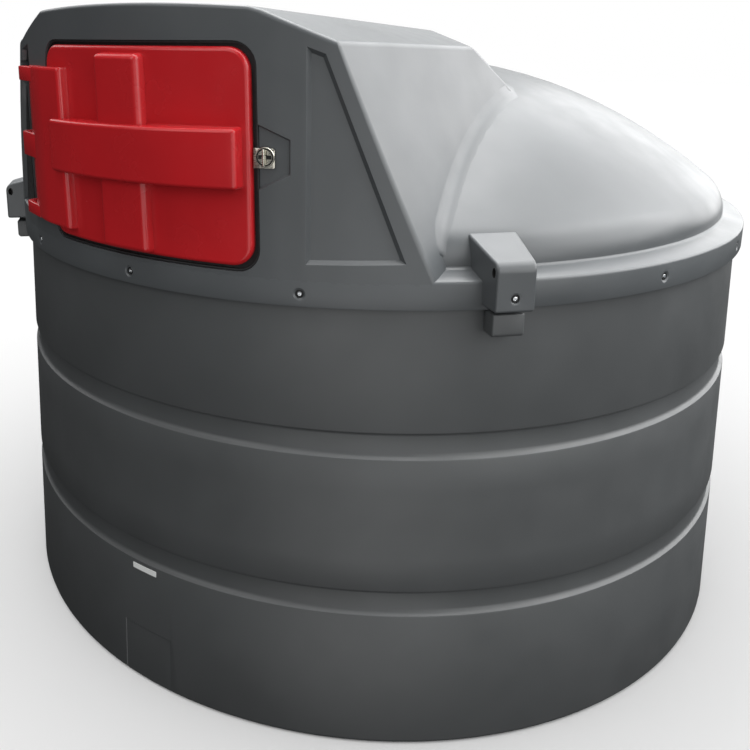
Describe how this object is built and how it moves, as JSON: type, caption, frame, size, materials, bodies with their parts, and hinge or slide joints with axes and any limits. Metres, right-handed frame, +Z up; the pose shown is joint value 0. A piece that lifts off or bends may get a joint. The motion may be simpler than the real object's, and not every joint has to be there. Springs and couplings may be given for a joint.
{
  "type": "bunded diesel fuel tank",
  "caption": "Round bunded plastic diesel tank with a grooved tapering body, a low domed cover, lifting lugs and a raised cabinet behind a ribbed, lockable hinged door.",
  "frame": {"origin": "on the floor, on the axis of the round body", "axes": "+Z up along the body's axis, -Y out through the cabinet door, +X to the right seen from the door"},
  "size_m": [2.336, 2.373, 1.789],
  "materials": {
    "anthracite_plastic": "satin rotationally moulded",
    "red_plastic": "semi-gloss moulded",
    "nickel_plate": "satin nickel plate",
    "pin_steel": "zinc plated"
  },
  "bodies": {
    "tank": {"body_floor": "anthracite_plastic", "body_wall_1": "anthracite_plastic", "body_wall_2": "anthracite_plastic", "body_wall_3": "anthracite_plastic", "body_wall_4": "anthracite_plastic", "body_wall_5": "anthracite_plastic", "body_wall_6": "anthracite_plastic", "body_wall_7": "anthracite_plastic", "body_wall_8": "anthracite_plastic", "body_lug_1": "anthracite_plastic", "body_lug_2": "anthracite_plastic", "body_lug_3": "anthracite_plastic", "body_lug_4": "anthracite_plastic", "rim_front": "anthracite_plastic", "rim_right": "anthracite_plastic", "rim_back_right": "anthracite_plastic", "rim_back_left": "anthracite_plastic", "rim_left": "anthracite_plastic", "dome_right": "anthracite_plastic", "dome_left": "anthracite_plastic", "dome_back_right": "anthracite_plastic", "dome_back_left": "anthracite_plastic", "jamb_right": "anthracite_plastic", "jamb_left": "anthracite_plastic", "header": "anthracite_plastic", "side_recess_pan_right": "anthracite_plastic", "side_recess_pan_left": "anthracite_plastic", "latch_recess_pan": "anthracite_plastic", "hinge_pocket": "anthracite_plastic", "side_wall_right": "anthracite_plastic", "side_wall_left": "anthracite_plastic", "roof_top": "anthracite_plastic", "roof_chamfer_right": "anthracite_plastic", "roof_chamfer_left": "anthracite_plastic", "rear_slope": "anthracite_plastic", "inner_tank_top": "anthracite_plastic", "cover_lug_1": "anthracite_plastic", "cover_lug_2": "anthracite_plastic", "cover_lug_3": "anthracite_plastic", "cover_lug_4": "anthracite_plastic", "hinge_pin": "pin_steel"},
    "door": {"door_panel": "red_plastic", "door_rib_cross": "red_plastic", "door_rib_middle_upper": "red_plastic", "door_rib_middle_lower": "red_plastic", "door_rib_hinge_upper": "red_plastic", "door_rib_hinge_middle": "red_plastic", "door_rib_hinge_lower": "red_plastic", "hinge_arm_lower": "red_plastic", "hinge_arm_middle": "red_plastic", "hinge_arm_upper": "red_plastic", "hasp_plate": "nickel_plate", "latch_rose": "nickel_plate"},
    "latch": {"latch_wing": "nickel_plate"}
  },
  "joints": [
    {"name": "door_hinge", "type": "hinge", "parent": "tank", "child": "door", "pos_m": [-0.4564, -1.04465, 1.432], "axis": [0, 0, -1], "range_deg": [0, 100]},
    {"name": "latch_turn", "type": "hinge", "parent": "door", "child": "latch", "pos_m": [0.37076, -1.09662, 1.462], "axis": [0.3203, -0.9473, 0], "range_deg": [0, 90]}
  ]
}
